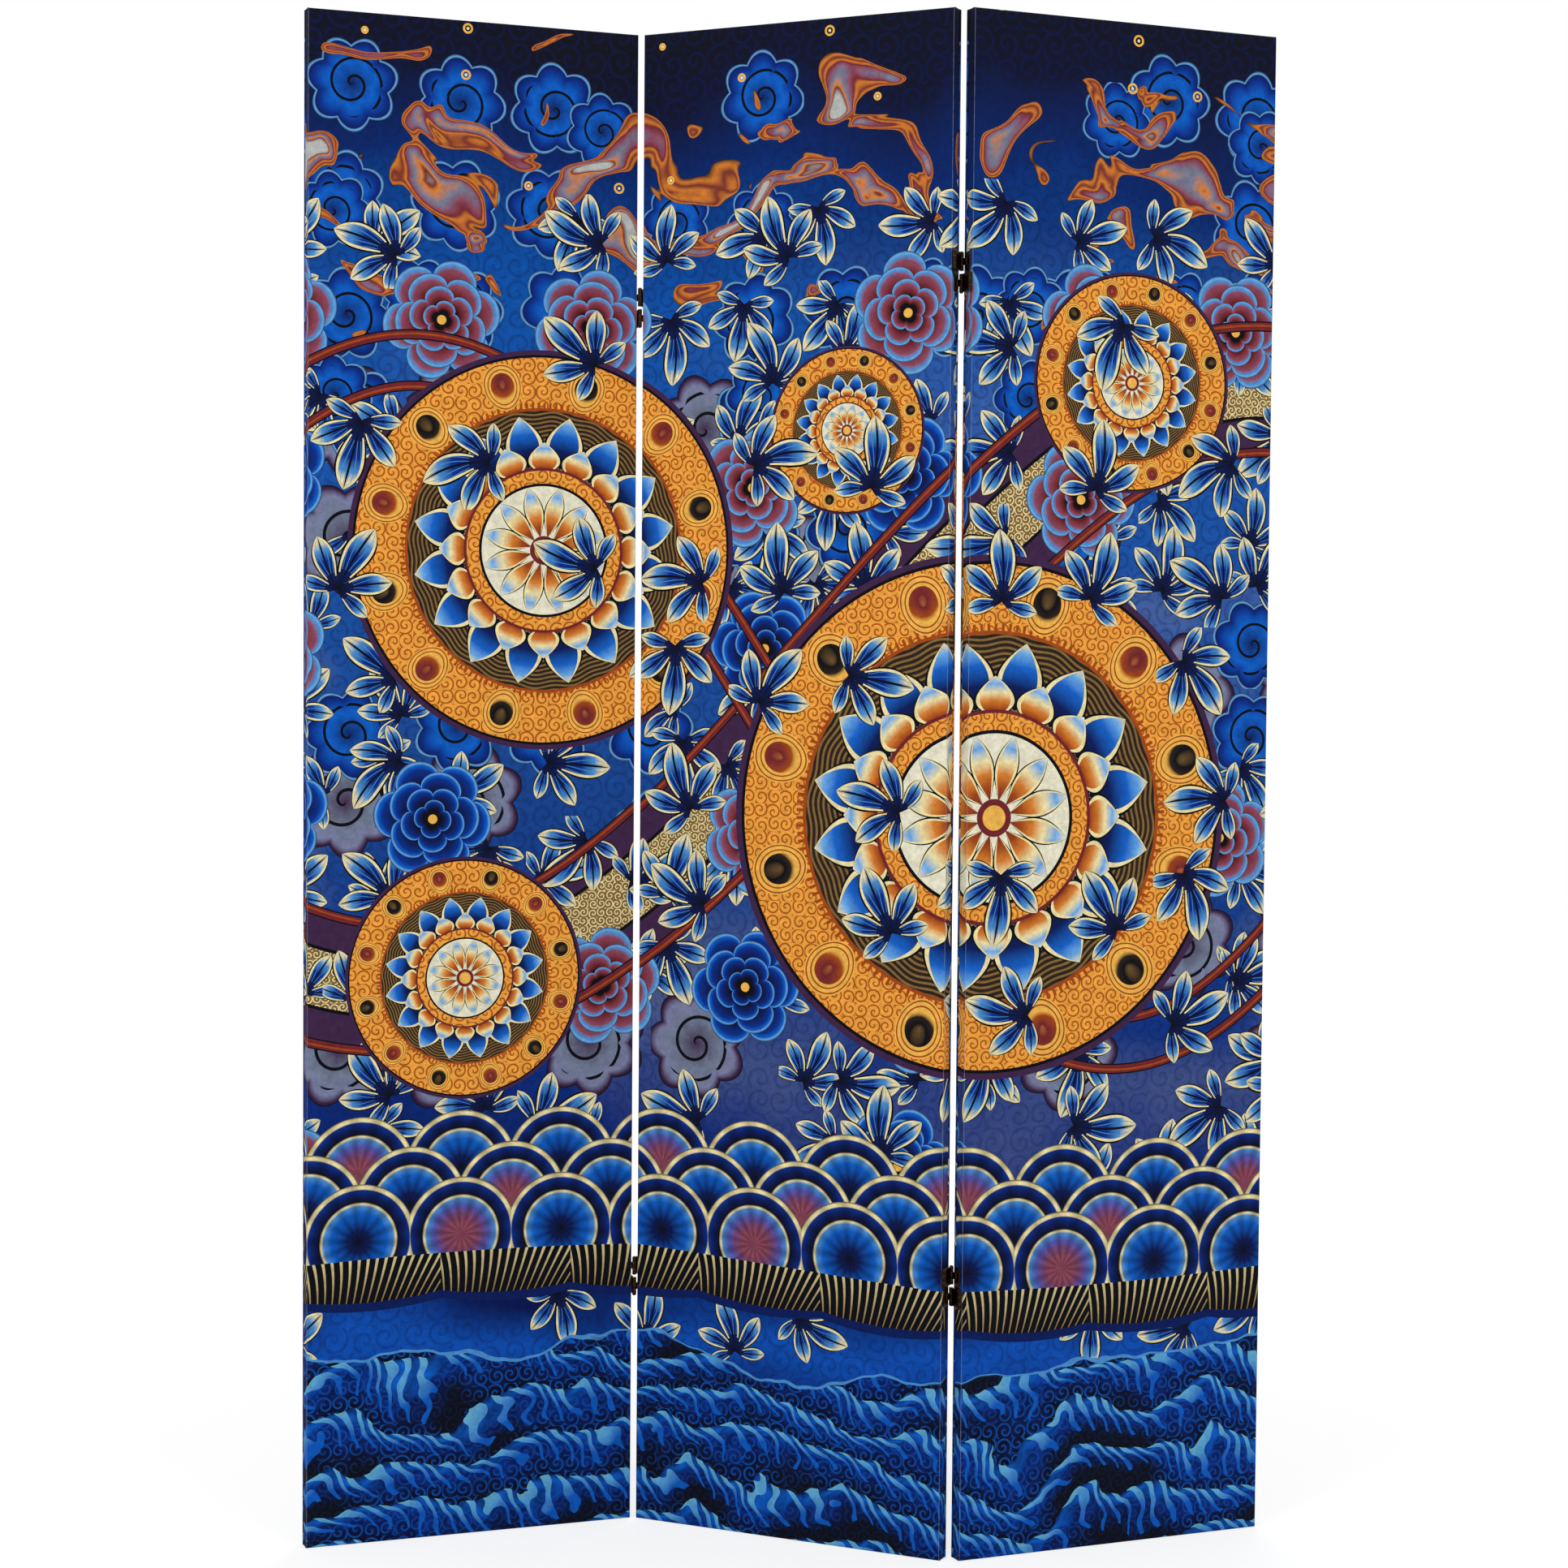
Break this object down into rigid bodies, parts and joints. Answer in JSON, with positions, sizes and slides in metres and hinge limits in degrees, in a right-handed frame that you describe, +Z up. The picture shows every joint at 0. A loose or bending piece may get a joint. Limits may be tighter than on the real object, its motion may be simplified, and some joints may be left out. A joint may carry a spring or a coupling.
{
  "type": "folding room divider",
  "caption": "Tall free-standing folding screen with printed canvas panels on hidden wood frames, joined edge to edge by double-acting hinges so that it folds flat.",
  "frame": {"origin": "on the floor, in the middle of the whole outline at rest", "axes": "+Z up, the printed fronts face -Y, +X to the viewer's right"},
  "size_m": [1.1448, 0.1952, 1.8],
  "materials": {
    "printed_canvas": "matte cotton canvas printed in blues, gold and cream, wrapped round the sides",
    "back_canvas": "matte cotton canvas printed in blues and gold, hemmed round the back corners",
    "frame_softwood": "planed, unfinished softwood",
    "corner_block_wood": "sawn, unfinished softwood, glued",
    "staple_steel": "galvanised wire",
    "screw_brass": "antique brass, cross-slotted countersunk heads",
    "pin_brass": "antique brass, worn at the heads",
    "leaf_brass": "dark antique brass, lacquered, worn bright at the edges",
    "link_brass": "dark antique brass, lacquered, worn bright at the edges"
  },
  "bodies": {
    "middle_panel": {"left_hinges_right_pins": "pin_brass", "left_lower_hinge_right_leaf": "leaf_brass", "left_lower_hinge_top_link": "link_brass", "left_upper_hinge_right_leaf": "leaf_brass", "left_upper_hinge_top_link": "link_brass", "middle_panel_back_canvas": "back_canvas", "middle_panel_bottom_rail": "frame_softwood", "middle_panel_corner_blocks": "corner_block_wood", "middle_panel_front_canvas": "printed_canvas", "middle_panel_hinge_screws": "screw_brass", "middle_panel_left_stile": "frame_softwood", "middle_panel_lower_cross_rail": "frame_softwood", "middle_panel_right_stile": "frame_softwood", "middle_panel_staples": "staple_steel", "middle_panel_top_rail": "frame_softwood", "middle_panel_upper_cross_rail": "frame_softwood", "right_hinges_left_pins": "pin_brass", "right_lower_hinge_left_leaf": "leaf_brass", "right_lower_hinge_top_link": "link_brass", "right_upper_hinge_left_leaf": "leaf_brass", "right_upper_hinge_top_link": "link_brass"},
    "left_panel": {"left_hinges_left_pins": "pin_brass", "left_lower_hinge_bottom_link": "link_brass", "left_lower_hinge_left_leaf": "leaf_brass", "left_panel_back_canvas": "back_canvas", "left_panel_bottom_rail": "frame_softwood", "left_panel_corner_blocks": "corner_block_wood", "left_panel_front_canvas": "printed_canvas", "left_panel_hinge_screws": "screw_brass", "left_panel_left_stile": "frame_softwood", "left_panel_lower_cross_rail": "frame_softwood", "left_panel_right_stile": "frame_softwood", "left_panel_staples": "staple_steel", "left_panel_top_rail": "frame_softwood", "left_panel_upper_cross_rail": "frame_softwood", "left_upper_hinge_bottom_link": "link_brass", "left_upper_hinge_left_leaf": "leaf_brass"},
    "right_panel": {"right_hinges_right_pins": "pin_brass", "right_lower_hinge_bottom_link": "link_brass", "right_lower_hinge_right_leaf": "leaf_brass", "right_panel_back_canvas": "back_canvas", "right_panel_bottom_rail": "frame_softwood", "right_panel_corner_blocks": "corner_block_wood", "right_panel_front_canvas": "printed_canvas", "right_panel_hinge_screws": "screw_brass", "right_panel_left_stile": "frame_softwood", "right_panel_lower_cross_rail": "frame_softwood", "right_panel_right_stile": "frame_softwood", "right_panel_staples": "staple_steel", "right_panel_top_rail": "frame_softwood", "right_panel_upper_cross_rail": "frame_softwood", "right_upper_hinge_bottom_link": "link_brass", "right_upper_hinge_right_leaf": "leaf_brass"}
  },
  "joints": [
    {"name": "left_fold", "type": "hinge", "parent": "middle_panel", "child": "left_panel", "pos_m": [-0.18677, 0.07345, 0.9], "axis": [0, 0, 1], "range_deg": [-44.5, 135.5]},
    {"name": "right_fold", "type": "hinge", "parent": "middle_panel", "child": "right_panel", "pos_m": [0.19167, -0.07374, 0.9], "axis": [0, 0, 1], "range_deg": [-46.5, 133.5]}
  ]
}
